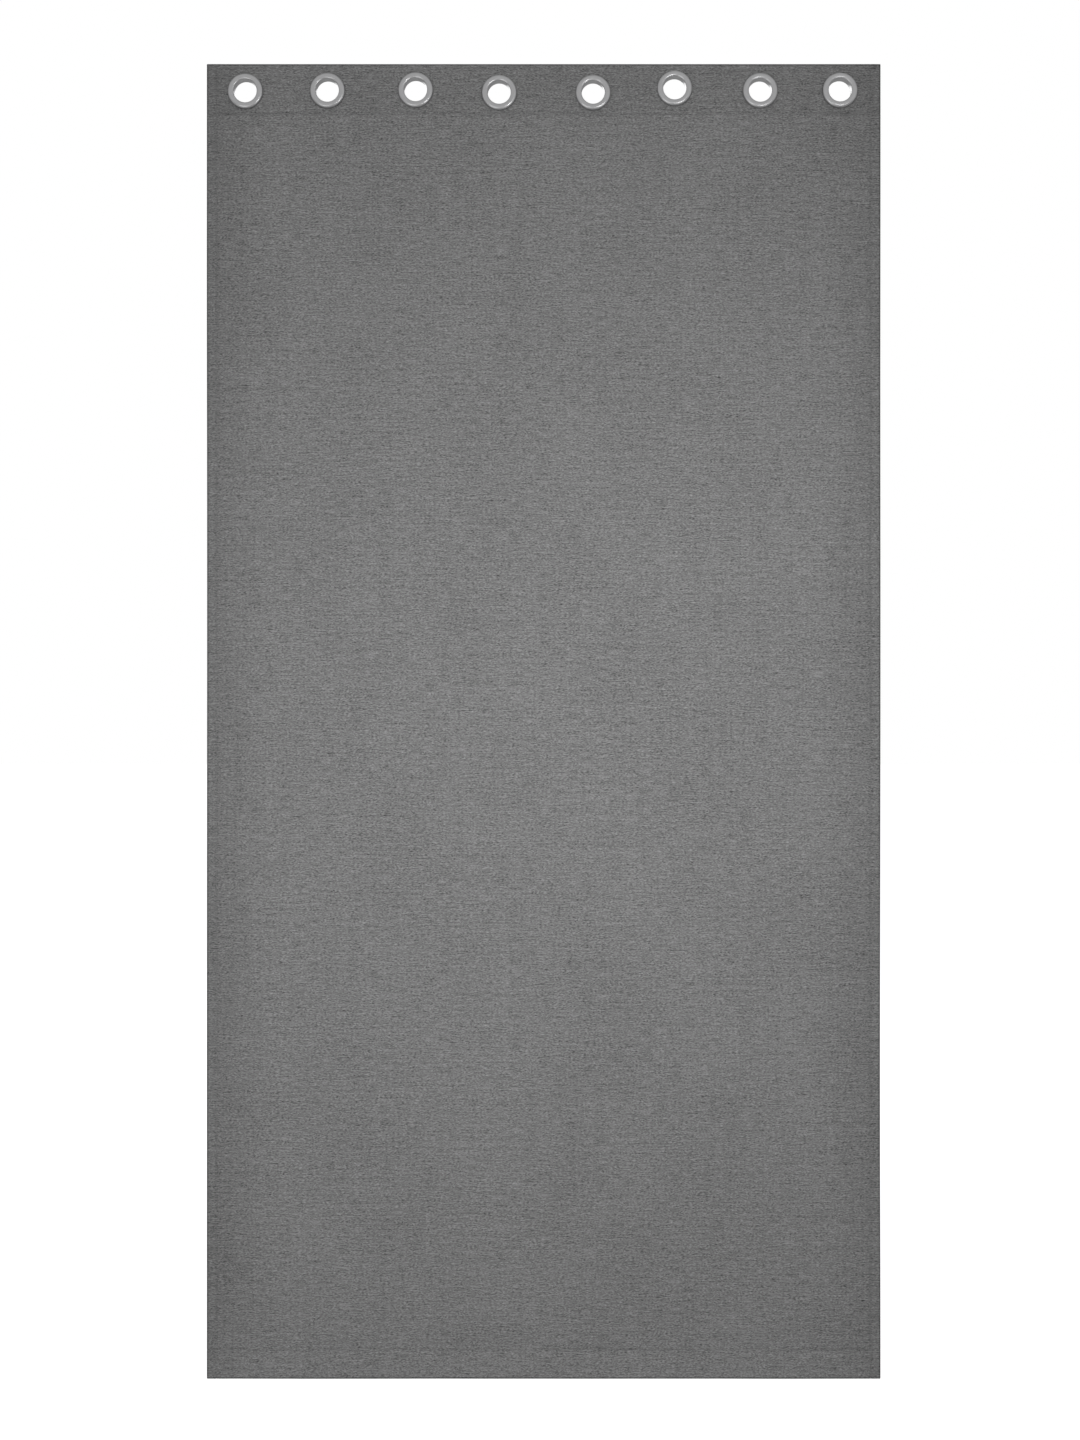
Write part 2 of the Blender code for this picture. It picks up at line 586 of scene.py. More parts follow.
@dataclass(frozen=True)
class Speckle:
    """One layer of uneven tone: its features to the metre, octaves and strength."""

    scale: Place
    detail: float
    strength: float
    roughness: float = 0.5

    def read(self, board: NodeBoard, place: Socket) -> Socket:
        """The layer's noise at a place."""
        return board.noise(place, self.scale, self.detail, self.roughness)


@dataclass(frozen=True)
class SlubbedCloth:
    """Plain weave of dull yarn with soft, uneven weft slubs that run across the panel."""

    colour: Place = (0.199, 0.199, 0.199)
    roughness: float = 0.92
    sheen: float = 0.12
    sheen_roughness: float = 0.6
    yarn_pitch: float = 0.75 * MM
    relief_depth: float = 0.35 * MM
    relief_strength: float = 0.6
    # painted shade: a dark band along the folded outer edges of the cloth
    rim_shade_width: float = 4.2 * MM
    rim_shade_tone: float = 0.40
    # painted shade: the light's fall-off towards the side edges
    edge_shade_reach: float = 0.13
    edge_shade_tone: float = 0.85
    # painted shade: the heading band darker, where less light shows through the folded layers
    heading_shade_tone: float = 0.94
    # a lighter tone for the bottom hem band
    hem_tone: float = 1.05
    fold_blur: float = 4 * MM
    # painted shade in the grooves along the seams
    seam_shade_width: float = 4.5 * MM
    seam_shade_tone: float = 0.94
    sway: Speckle = Speckle((16.0, 40.0, 1.0), 1.0, 5.0 * MM)
    shift: Speckle = Speckle((35.0, 160.0, 1.0), 1.0, 22.0 * MM)
    grain: Speckle = Speckle((250.0, 600.0, 1.0), 2.0, 3.2, 0.55)
    streak: Speckle = Speckle((40.0, 380.0, 1.0), 1.5, 1.1)
    slub: Speckle = Speckle((90.0, 540.0, 1.0), 0.0, -0.10)
    mottle: Speckle = Speckle((5.0, 3.2, 1.0), 3.0, 0.26, 0.6)
    warp_line: Speckle = Speckle((230.0, 3.0, 1.0), 1.0, 0.18)
    weft_line: Speckle = Speckle((5.0, 210.0, 1.0), 1.0, 0.34)

    def build(self, sizes: PanelSizes, hang: "HangOfCloth") -> bpy.types.Material:
        """Make the material.

        Args:
            sizes: the panel's edges, where a painted shade darkens the rim.
            hang: where the seams run.

        Returns:
            The cloth's material.
        """
        board = NodeBoard("slubbed_grey_cloth")
        board.set_shader(
            Roughness=self.roughness, Sheen_Weight=self.sheen, Sheen_Roughness=self.sheen_roughness)
        place = board.coordinates(WEAVE_MAP)
        across, up, _ = board.split(place)
        wavy_up = board.math("MULTIPLY_ADD", self.sway.read(board, place), self.sway.strength, up)
        wavy_across = board.math("MULTIPLY_ADD", self.shift.read(board, place), self.shift.strength, across)
        wavy = board.join(wavy_across, wavy_up)
        grain = self.grain.read(board, wavy)
        streak = self.streak.read(board, wavy)
        tone = board.about(grain, self.grain.strength, 1.0)
        tone = board.about(streak, self.streak.strength, tone)
        for layer in (self.mottle, self.warp_line, self.weft_line):
            tone = board.about(layer.read(board, place), layer.strength, tone)
        dark_slub = board.ramp(self.slub.read(board, wavy), 0.62, 0.74, 0.0, self.slub.strength)
        tone = board.math("ADD", tone, dark_slub)
        # the tone times painted shade at the rim, side edges, heading and seams, and a lighter hem band
        board.tint(self.colour, board.product(tone, self._painted_shade_and_hem_tone(board, across, up, sizes, hang)))
        relief = self._relief(board, across, wavy_up, grain, streak)
        board.bump(relief, self.relief_depth, self.relief_strength)
        return board.material

    def _painted_shade_and_hem_tone(self, board: NodeBoard, across: Socket, up: Socket,
              sizes: PanelSizes, hang: "HangOfCloth") -> Socket:
        """Painted shade at the folded rim, towards the side edges, over the heading band and in the seam
        grooves, and a lighter bottom hem band.

        Args:
            board: the material.
            across: place across the flat cloth.
            up: place up the flat cloth.
            sizes: the panel's edges and folds.
            hang: where the seams run.

        Returns:
            What the cloth's tone is multiplied by.
        """
        edges = [(across, sizes.left), (across, sizes.right), (up, sizes.top), (up, sizes.bottom)]
        # painted shade along the folded outer edges
        rim = board.ramp(board.distance(edges), 0.2 * self.rim_shade_width, self.rim_shade_width, self.rim_shade_tone, 1.0)
        # painted shade: the cloth darker towards the side edges, where the light falls off
        off = board.distance([(across, (sizes.left + sizes.right) / 2)])
        half = (sizes.right - sizes.left) / 2
        side_shade = board.ramp(off, half - self.edge_shade_reach, half, 1.0, self.edge_shade_tone)
        low, blur = sizes.heading_low, self.fold_blur
        # painted shade over the heading band
        heading = board.ramp(up, low - blur, low + blur, 1.0, self.heading_shade_tone)
        # a lighter tone along the bottom hem band
        hem = board.ramp(up, sizes.hem_high - blur, sizes.hem_high, self.hem_tone, 1.0)
        # painted shade in the seam grooves
        seams = [(up, hang.heading_seam), (up, hang.hem_seam)]
        seams += [(across, hang.side_seam(side)) for side in Side]
        groove = board.ramp(
            board.distance(seams), 0.3 * self.seam_shade_width, self.seam_shade_width, self.seam_shade_tone, 1.0)
        return board.product(rim, side_shade, heading, hem, groove)

    def _relief(self, board: NodeBoard, across: Socket, up: Socket,
                grain: Socket, streak: Socket) -> Socket:
        """Height of the crossing yarns, with the slubs on top.

        Args:
            board: the material.
            across: place across the flat cloth.
            up: place up the flat cloth, with the yarns' sway.
            grain: the fine slubs' noise.
            streak: the long slubs' noise.

        Returns:
            The height's socket.
        """
        turn = FULL_TURN / self.yarn_pitch
        weft = board.math("SINE", board.math("MULTIPLY", up, turn))
        warp = board.math("SINE", board.math("MULTIPLY", across, turn))
        yarns = board.math("MULTIPLY_ADD", board.math("MULTIPLY", weft, warp), 0.25, 0.5)
        slubs = board.math("MULTIPLY_ADD", grain, 0.9, board.math("MULTIPLY", streak, 0.7))
        return board.math("ADD", yarns, slubs)


@dataclass(frozen=True)
class SatinSilver:
    """Plated ring with a soft satin gloss and the faintest turned grain."""

    colour: Place = (0.48, 0.48, 0.485)
    metallic: float = 1.0
    roughness: float = 0.33
    uneven_tone: float = 0.10
    uneven_gloss: float = 0.12
    grain_depth: float = 0.02 * MM
    grain_strength: float = 0.15

    def build(self) -> bpy.types.Material:
        """Make the material.

        Returns:
            The material.
        """
        board = NodeBoard("satin_silver_plate")
        board.set_shader(Metallic=self.metallic)
        place = board.coordinates()
        cloud = board.noise(place, (160.0, 160.0, 160.0), 3.0)
        fine = board.noise(place, (2400.0, 2400.0, 2400.0), 1.0)
        board.tint(self.colour, board.about(cloud, self.uneven_tone, 1.0))
        gloss = board.about(cloud, self.uneven_gloss, self.roughness)
        board.put(board.shader.inputs["Roughness"], gloss)
        board.bump(fine, self.grain_depth, self.grain_strength)
        return board.material


@dataclass(frozen=True)
class Buckram:
    """Stiff open-woven band of off-white yarn."""

    colour: Place = (0.72, 0.71, 0.67)
    roughness: float = 0.85
    pitch: float = 1.1 * MM
    net_depth: float = 0.2 * MM

    def build(self) -> bpy.types.Material:
        """Make the material.

        Returns:
            The material.
        """
        board = NodeBoard("white_buckram")
        board.set_shader(Roughness=self.roughness)
        place = board.coordinates(WEAVE_MAP)
        across, up, _ = board.split(place)
        turn = FULL_TURN / self.pitch
        bars = board.math("SINE", board.math("MULTIPLY", across, turn))
        rows = board.math("SINE", board.math("MULTIPLY", up, turn))
        net = board.math("MULTIPLY_ADD", board.math("MAXIMUM", bars, rows), 0.5, 0.5)
        fuzz = board.noise(place, (900.0, 900.0, 1.0), 2.0)
        tone = board.math("MULTIPLY_ADD", net, 0.22, board.math("MULTIPLY_ADD", fuzz, 0.2, 0.7))
        board.tint(self.colour, tone)
        board.bump(net, self.net_depth, 0.6)
        return board.material


@dataclass(frozen=True)
class SewingThread:
    """Grey polyester thread with a visible twist."""

    colour: Place = (0.175, 0.175, 0.175)
    roughness: float = 0.55
    sheen: float = 0.2
    lay: float = 44.0
    strand_depth: float = 0.05 * MM

    def build(self) -> bpy.types.Material:
        """Make the material.

        Returns:
            The material.
        """
        board = NodeBoard("grey_sewing_thread")
        board.set_shader(Roughness=self.roughness, Sheen_Weight=self.sheen)
        around, along, _ = board.split(board.coordinates(WEAVE_MAP))
        twist = board.math("MULTIPLY_ADD", along, self.lay, board.math("MULTIPLY", around, FULL_TURN))
        strand = board.math("MULTIPLY_ADD", board.math("SINE", twist), 0.5, 0.5)
        board.tint(self.colour, board.math("MULTIPLY_ADD", strand, 0.35, 0.8))
        board.bump(strand, self.strand_depth, 0.5)
        return board.material


# ---- cloth shape


@dataclass(frozen=True)
class HangOfCloth:
    """How far the cloth lies off its flat plane: its soft waves and its sewn puckers."""

    sizes: PanelSizes
    stitch_inset: float = 1.8 * MM
    groove_depth: float = 0.35 * MM
    groove_width: float = 1.7 * MM
    pucker_height: float = 0.28 * MM
    pucker_reach: float = 9.0 * MM
    pucker_pitch: float = 12.5 * MM
    wave_start: float = 0.03
    wave_full: float = 0.55
    wave_end: float = 0.35
    wave_left: float = 0.10
    waves: tuple[tuple[float, float, float, float], ...] = (
        (1.5 * MM, 15.3, 1.1, 0.4),
        (0.8 * MM, 24.7, -2.3, 2.1),
        (0.9 * MM, 8.1, 3.9, 4.0),
        (0.5 * MM, 37.0, 5.2, 1.2),
    )

    @property
    def heading_seam(self) -> float:
        """Height of the row of stitches that holds the turned heading."""
        return self.sizes.heading_low + self.stitch_inset

    @property
    def hem_seam(self) -> float:
        """Height of the row of stitches that holds the bottom hem."""
        return self.sizes.hem_high - self.stitch_inset

    def side_seam(self, side: Side) -> float:
        """The x of the row of stitches along one side edge."""
        return self.sizes.edge(side) + side.value * (self.sizes.side_hem - self.stitch_inset)

    def waves_at(self, x: np.ndarray, z: np.ndarray) -> np.ndarray:
        """Soft waves that grow below the stiff heading, for every layer alike.

        Args:
            x: places across.
            z: places up.

        Returns:
            The offset to the back at each place.
        """
        below = np.clip((self.sizes.heading_low - self.wave_start - z) / self.wave_full, 0.0, 1.0)
        above = np.clip((z - self.sizes.hem_high) / self.wave_end, 0.0, 1.0)
        settle = self.wave_left + (1.0 - self.wave_left) * above * above * (3.0 - 2.0 * above)
        grow = below * below * (3.0 - 2.0 * below) * settle
        total = np.zeros_like(x + z)
        for height, turn_x, turn_z, phase in self.waves:
            total = total + height * np.sin(turn_x * x + turn_z * z + phase)
        return total * grow

    def puckers_at(self, x: np.ndarray, z: np.ndarray) -> np.ndarray:
        """Grooves along the seams and the small ripples that the thread draws up.

        Args:
            x: places across.
            z: places up.

        Returns:
            The offset to the back at each place.
        """
        total = np.zeros_like(x + z)
        for seam in (self.heading_seam, self.hem_seam):
            total = total + self._seam(z - seam, x)
        for side in Side:
            total = total + self._seam(x - self.side_seam(side), z)
        return total

    def _seam(self, off: np.ndarray, along: np.ndarray) -> np.ndarray:
        """One seam's groove and ripples.

        Args:
            off: distances from the seam.
            along: places along it.

        Returns:
            The offset to the back at each place.
        """
        groove = self.groove_depth * np.exp(-((off / self.groove_width) ** 2))
        phase = along / self.pucker_pitch * FULL_TURN + 1.9 * np.sin(along * 71.0)
        uneven = 0.55 + 0.45 * np.sin(along * 23.0 + 0.7)
        ripple = self.pucker_height * np.sin(phase) * uneven * np.exp(-np.abs(off) / self.pucker_reach)
        return groove + ripple


@dataclass
class SheetGrid:
    """Rows and columns that carry a flat grid onto the folded sheet."""

    face_x: np.ndarray
    back_x: np.ndarray
    roll_y: np.ndarray
    row_y: np.ndarray
    row_z: np.ndarray
    row_v: np.ndarray
    on_face: np.ndarray


@dataclass
class ClothPanel:
    """The sheet of cloth, in lengths, one for each fold line."""

    sizes: PanelSizes
    hang: HangOfCloth
    cloth: bpy.types.Material
    column_step: float = 2.6 * MM
    row_step: float = 8.0 * MM
    hem_step: float = 5.0 * MM
    near_seam: tuple[float, ...] = (0.0, 0.7 * MM, 1.4 * MM, 2.2 * MM, 3.4 * MM, 5.2 * MM)
    edge_roll: float = 0.8 * MM
    edge_width: float = 4 * MM
    edge_gap: float = 0.6 * MM
    edge_columns: int = 5
    tuck: float = 1.4 * MM
    turn_steps: int = 8
    pieces: list[Piece] = field(default_factory=list)

    def build(self) -> list[Piece]:
        """Make every length.

        Returns:
            The seven lengths, from left to right.
        """
        for number in self.sizes.lengths:
            grid = self._grid(number)
            piece = self._sheet(grid)
            apply_modifier(piece, "SOLIDIFY", thickness=self.sizes.cloth, offset=0.0)
            punch_eyelets(piece, self.sizes, number)
            finish_piece(piece, f"cloth_{number}", self.cloth, 40)
            self._attach(piece, number)
            self.pieces.append(piece)
            log.info("cloth length %d: %d faces", number, len(piece.data.polygons))
        return self.pieces

    def _columns(self, number: int) -> tuple[np.ndarray, np.ndarray, np.ndarray]:
        """Place the columns of points across one length.

        Args:
            number: the length's number, from 1.

        Returns:
            Each column's x on the face, its x behind, and its roll to the back.
        """
        start, end = self.sizes.span(number)
        seams = tuple(self.hang.side_seam(side) for side in Side)
        half = self.sizes.cloth / 2
        clear = self.edge_width
        at_left = number == 1
        at_right = self.sizes.is_last(number)
        inner_start = start + clear if at_left else start
        inner_end = end - clear if at_right else end
        inner = graded(inner_start, inner_end, self.column_step, seams, self.near_seam)
        angles = np.linspace(math.pi / 2, 0.0, self.edge_columns)
        roll_x = half + self.edge_roll * (1 - np.sin(angles))
        roll_y = self.edge_roll * (1 - np.cos(angles))
        tucked = np.linspace(self.tuck, clear - self.edge_gap, self.edge_columns)
        face_x, back_x, offsets = [inner], [inner], [np.zeros(len(inner))]
        if at_left:
            face_x.insert(0, start + roll_x)
            back_x.insert(0, start + tucked)
            offsets.insert(0, roll_y)
        if at_right:
            face_x.append(end - roll_x[::-1])
            back_x.append(end - tucked[::-1])
            offsets.append(roll_y[::-1])
        return np.concatenate(face_x), np.concatenate(back_x), np.concatenate(offsets)

    def _turned_edge(self, centre_z: float, y_from: float, y_to: float,
                     way: float) -> tuple[np.ndarray, np.ndarray]:
        """Half a turn round a folded edge, from one layer to another.

        Args:
            centre_z: height of the turn's middle.
            y_from: the layer it leaves.
            y_to: the layer it reaches.
            way: 1 for a fold at the top, -1 for one at the bottom.

        Returns:
            The y and z of the points between the two layers.
        """
        angles = np.linspace(0.0, math.pi, self.turn_steps + 1)[1:-1]
        middle = (y_from + y_to) / 2
        reach = (y_from - y_to) / 2
        return middle + reach * np.cos(angles), centre_z + way * abs(reach) * np.sin(angles)

    def _grid(self, number: int) -> SheetGrid:
        """Place the rows down the sheet's whole path and the columns across one length.

        Args:
            number: the length's number, from 1.

        Returns:
            The rows and columns.
        """
        sizes, hang = self.sizes, self.hang
        half = sizes.cloth / 2
        top_reach = (sizes.turn_y - sizes.face_y) / 2
        hem_reach = (sizes.hem_y - sizes.face_y) / 2
        top_centre = sizes.top - half - top_reach
        low_centre = sizes.bottom + half + hem_reach
        turn_z = graded(sizes.heading_low, top_centre, self.hem_step, (hang.heading_seam,), self.near_seam)
        over_y, over_z = self._turned_edge(top_centre, sizes.turn_y, sizes.face_y, 1.0)
        seams = (hang.heading_seam, hang.hem_seam)
        face_z = graded(top_centre, low_centre, self.row_step, seams, self.near_seam)
        under_y, under_z = self._turned_edge(low_centre, sizes.face_y, sizes.hem_y, -1.0)
        hem_z = graded(low_centre, sizes.hem_high, self.hem_step, (hang.hem_seam,), self.near_seam)
        row_y = np.concatenate([
            np.full(len(turn_z), sizes.turn_y), over_y,
            np.full(len(face_z), sizes.face_y), under_y,
            np.full(len(hem_z), sizes.hem_y),
        ])
        row_z = np.concatenate([turn_z, over_z, face_z, under_z, hem_z])
        over_share = np.linspace(0.0, 1.0, self.turn_steps + 1)[1:-1]
        on_face = np.concatenate([
            np.zeros(len(turn_z)), over_share, np.ones(len(face_z)),
            over_share[::-1], np.zeros(len(hem_z)),
        ])
        steps = np.hypot(np.diff(row_y), np.diff(row_z))
        run = np.concatenate([[0.0], np.cumsum(steps)])
        face_start = len(turn_z) + len(over_z)
        row_v = row_z[face_start] - (run - run[face_start])
        face_x, back_x, roll_y = self._columns(number)
        return SheetGrid(face_x, back_x, roll_y, row_y, row_z, row_v, on_face)

    def _sheet(self, grid: SheetGrid) -> Piece:
        """A flat grid whose points are laid along the folded path.

        Args:
            grid: the rows and columns.

        Returns:
            The open sheet, in the middle of the cloth's thickness.
        """
        obj, column, row = new_grid(len(grid.face_x), len(grid.row_z))
        share = grid.on_face[row]
        x = share * grid.face_x[column] + (1 - share) * grid.back_x[column]
        z = grid.row_z[row]
        y = grid.row_y[row] + share * grid.roll_y[column]
        y = y + self.hang.waves_at(x, z) + self.hang.puckers_at(x, z)
        lay_grid(obj, (x, y, z), (x, grid.row_v[row]))
        return obj

    def _attach(self, piece: Piece, number: int) -> None:
        """Bake a length's transform and hide the frame's nodes that it stands for.

        Args:
            piece: the finished length.
            number: its number, from 1.
        """
        bend(piece)
        stood_for = [number]
        if self.sizes.is_last(number):
            stood_for.append(number + 1)
        for strip in stood_for:
            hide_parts(*(f"{layer.value}_{strip}" for layer in Layer))


@dataclass
class SideHem:
    """A side edge's turned-in layer, flat behind the face."""

    sizes: PanelSizes
    hang: HangOfCloth
    cloth: bpy.types.Material
    side: Side
    row_step: float = 8.0 * MM
    column_step: float = 2.5 * MM
    near_seam: tuple[float, ...] = (0.0, 0.7 * MM, 1.6 * MM)
    edge_gap: float = 0.5 * MM

    def build(self) -> Piece:
        """Make the hem.

        Returns:
            The hem.
        """
        sizes = self.sizes
        node = f"side_hem_{self.side.name.lower()}"
        low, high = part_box(node)
        half = sizes.cloth / 2
        edge = sizes.edge(self.side)
        outer = edge + self.side.value * self.edge_gap
        inner = edge + self.side.value * (sizes.side_hem - half)
        seam = self.hang.side_seam(self.side)
        columns = graded(min(outer, inner), max(outer, inner), self.column_step, (seam,), self.near_seam)
        rows = np.linspace(low.z + half, high.z - half, round((high.z - low.z) / self.row_step))
        obj, column, row = new_grid(len(columns), len(rows))
        x, z = columns[column], rows[row]
        y = sizes.hem_y + self.hang.waves_at(x, z) + self.hang.puckers_at(x, z)
        lay_grid(obj, (x, y, z), (2 * edge - x, z))
        apply_modifier(obj, "SOLIDIFY", thickness=sizes.cloth, offset=0.0)
        finish_piece(obj, f"turned_{node}", self.cloth, 40)
        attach(obj, sizes.end_body(self.side))
        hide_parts(node)
        log.info("%s: %d faces", obj.name, len(obj.data.polygons))
        return obj


@dataclass
class Stiffener:
    """The buckram band inside the heading, in the same lengths as the cloth."""

    sizes: PanelSizes
    buckram: bpy.types.Material
    end_gap: float = 3.0 * MM
    column_step: float = 2.6 * MM
    row_count: int = 13

    def build(self) -> list[Piece]:
        """Make each length of the band and return them."""
        return [self._length(number) for number in self.sizes.lengths]

    def _length(self, number: int) -> Piece:
        """One length of the band, punched for its eyelets.

        Args:
            number: the length's number, from 1.

        Returns:
            The piece.
        """
        sizes = self.sizes
        start, end = sizes.span(number)
        last = sizes.is_last(number)
        start += self.end_gap if number == 1 else 0.0
        end -= self.end_gap if last else 0.0
        columns = np.linspace(start, end, round((end - start) / self.column_step) + 1)
        rows = np.linspace(sizes.buckram_low, sizes.buckram_high, self.row_count)
        obj, column, row = new_grid(len(columns), len(rows))
        x, z = columns[column], rows[row]
        lay_grid(obj, (x, np.full(len(x), sizes.buckram_y), z), (x, z))
        apply_modifier(obj, "SOLIDIFY", thickness=sizes.buckram, offset=0.0)
        punch_eyelets(obj, sizes, number)
        finish_piece(obj, f"buckram_{number}", self.buckram, 40)
        bend(obj)
        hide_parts(f"heading_stiffener_{number}")
        if last:
            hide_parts(f"heading_stiffener_{number + 1}")
        return obj


# ---- stitches


@dataclass
class Stitches:
    """Lockstitch rows of grey thread, on the room side and on the back."""

    sizes: PanelSizes
    hang: HangOfCloth
    thread: bpy.types.Material
    pitch: float = 3.3 * MM
    length: float = 2.7 * MM
    radius: float = 0.26 * MM
    sunk: float = 0.08 * MM
    end_margin: float = 2.5 * MM
    fold_margin: float = 3.0 * MM
    uneven_tilt: float = 0.05
    seed: int = 11

    def __post_init__(self) -> None:
        """Model the one stitch that every row repeats."""
        deselect_all()
        bpy.ops.mesh.primitive_uv_sphere_add(
            segments=6, ring_count=4, radius=1.0, rotation=(0.0, math.pi / 2, 0.0))
        bpy.ops.object.transform_apply(location=False, rotation=True, scale=False)
        bpy.ops.object.mode_set(mode="EDIT")
        bpy.ops.mesh.select_all(action="SELECT")
        bpy.ops.transform.resize(
            value=(self.length / 2, self.radius, self.radius), center_override=(0.0, 0.0, 0.0))
        bpy.ops.object.mode_set(mode="OBJECT")
        grain = bpy.context.active_object
        self.grain_points = np.array([v.co for v in grain.data.vertices])
        self.grain_faces = [list(p.vertices) for p in grain.data.polygons]
        self.grain_map = np.array([d.vector for d in grain.data.uv_layers[0].uv])
        drop_object(grain)

    def row(self, name: str, places: np.ndarray, upright: bool) -> Piece:
        """One piece holding a stitch at each place.

        Args:
            name: the piece's name.
            places: the stitches' middles, one row of x, y and z each.
            upright: True for a seam that runs up the panel.

        Returns:
            The piece.
        """
        chance = np.random.default_rng(self.seed + len(places))
        points, faces = [], []
        size = len(self.grain_points)
        x, y, z = self.grain_points.T
        for index, place in enumerate(places):
            tilt = chance.normal(0.0, self.uneven_tilt) + (math.pi / 2 if upright else 0.0)
            c, s = math.cos(tilt), math.sin(tilt)
            points.append(np.stack([x * c - z * s, y, x * s + z * c], 1) + place)
            faces.extend([index * size + v for v in face] for face in self.grain_faces)
        mesh = bpy.data.meshes.new(name)
        mesh.from_pydata(np.concatenate(points).tolist(), [], faces)
        layer = mesh.uv_layers.new(name=WEAVE_MAP)
        layer.uv.foreach_set("vector", np.tile(self.grain_map, (len(places), 1)).ravel())
        obj = bpy.data.objects.new(name, mesh)
        bpy.context.scene.collection.objects.link(obj)
        finish_piece(obj, name, self.thread, 60)
        return obj

    def _on_cloth(self, x: np.ndarray, z: np.ndarray, layer_y: np.ndarray, way: float) -> np.ndarray:
        """Places on a layer's outer skin, sunk a little into it.

        Args:
            x: places across.
            z: places up.
            layer_y: the layer's y at each place.
            way: -1 for the room side, 1 for the back.

        Returns:
            The x, y and z of each place, one row each.
        """
        skin = layer_y + way * (self.sizes.cloth / 2 + self.radius - self.sunk)
        y = skin + self.hang.waves_at(x, z) + self.hang.puckers_at(x, z)
        return np.stack([x, y, z], 1)

    def across(self, number: int, seam: float, back_y: float, name: str) -> Piece:
        """A level seam's stitches along one length of the sheet.

        Args:
            number: the length's number, from 1.
            seam: the seam's height.
            back_y: the layer that the back row lies on.
            name: the seam's name.

        Returns:
            The piece.
        """
        start, end = self.sizes.span(number)
        start += self.end_margin if number == 1 else 0.0
        end -= self.end_margin if self.sizes.is_last(number) else 0.0
        first = math.ceil((start - self.sizes.left) / self.pitch)
        last = math.floor((end - self.sizes.left) / self.pitch - 1e-6)
        x = self.sizes.left + self.pitch * np.arange(first, last + 1)
        z = np.full(len(x), seam)
        front = self._on_cloth(x, z, np.full(len(x), self.sizes.face_y), -1.0)
        back = self._on_cloth(x, z, np.full(len(x), back_y), 1.0)
        obj = self.row(f"{name}_{number}", np.concatenate([front, back]), upright=False)
        bend(obj)
        return obj

    def upright(self, side: Side) -> Piece:
        """A side seam's stitches, from the bottom hem's fold to the top edge.

        Args:
            side: the panel's side edge.

        Returns:
            The piece.
        """
        sizes = self.sizes
        z = np.arange(sizes.bottom + self.fold_margin, sizes.top - self.fold_margin, self.pitch)
        x = np.full(len(z), self.hang.side_seam(side))
        back_y = np.where(z > sizes.heading_low, sizes.turn_y, sizes.hem_y)
        front = self._on_cloth(x, z, np.full(len(z), sizes.face_y), -1.0)
        back = self._on_cloth(x, z, back_y, 1.0)
        obj = self.row(f"side_stitches_{side.name.lower()}", np.concatenate([front, back]), upright=True)
        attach(obj, sizes.end_body(side))
        return obj


# ---- eyelets


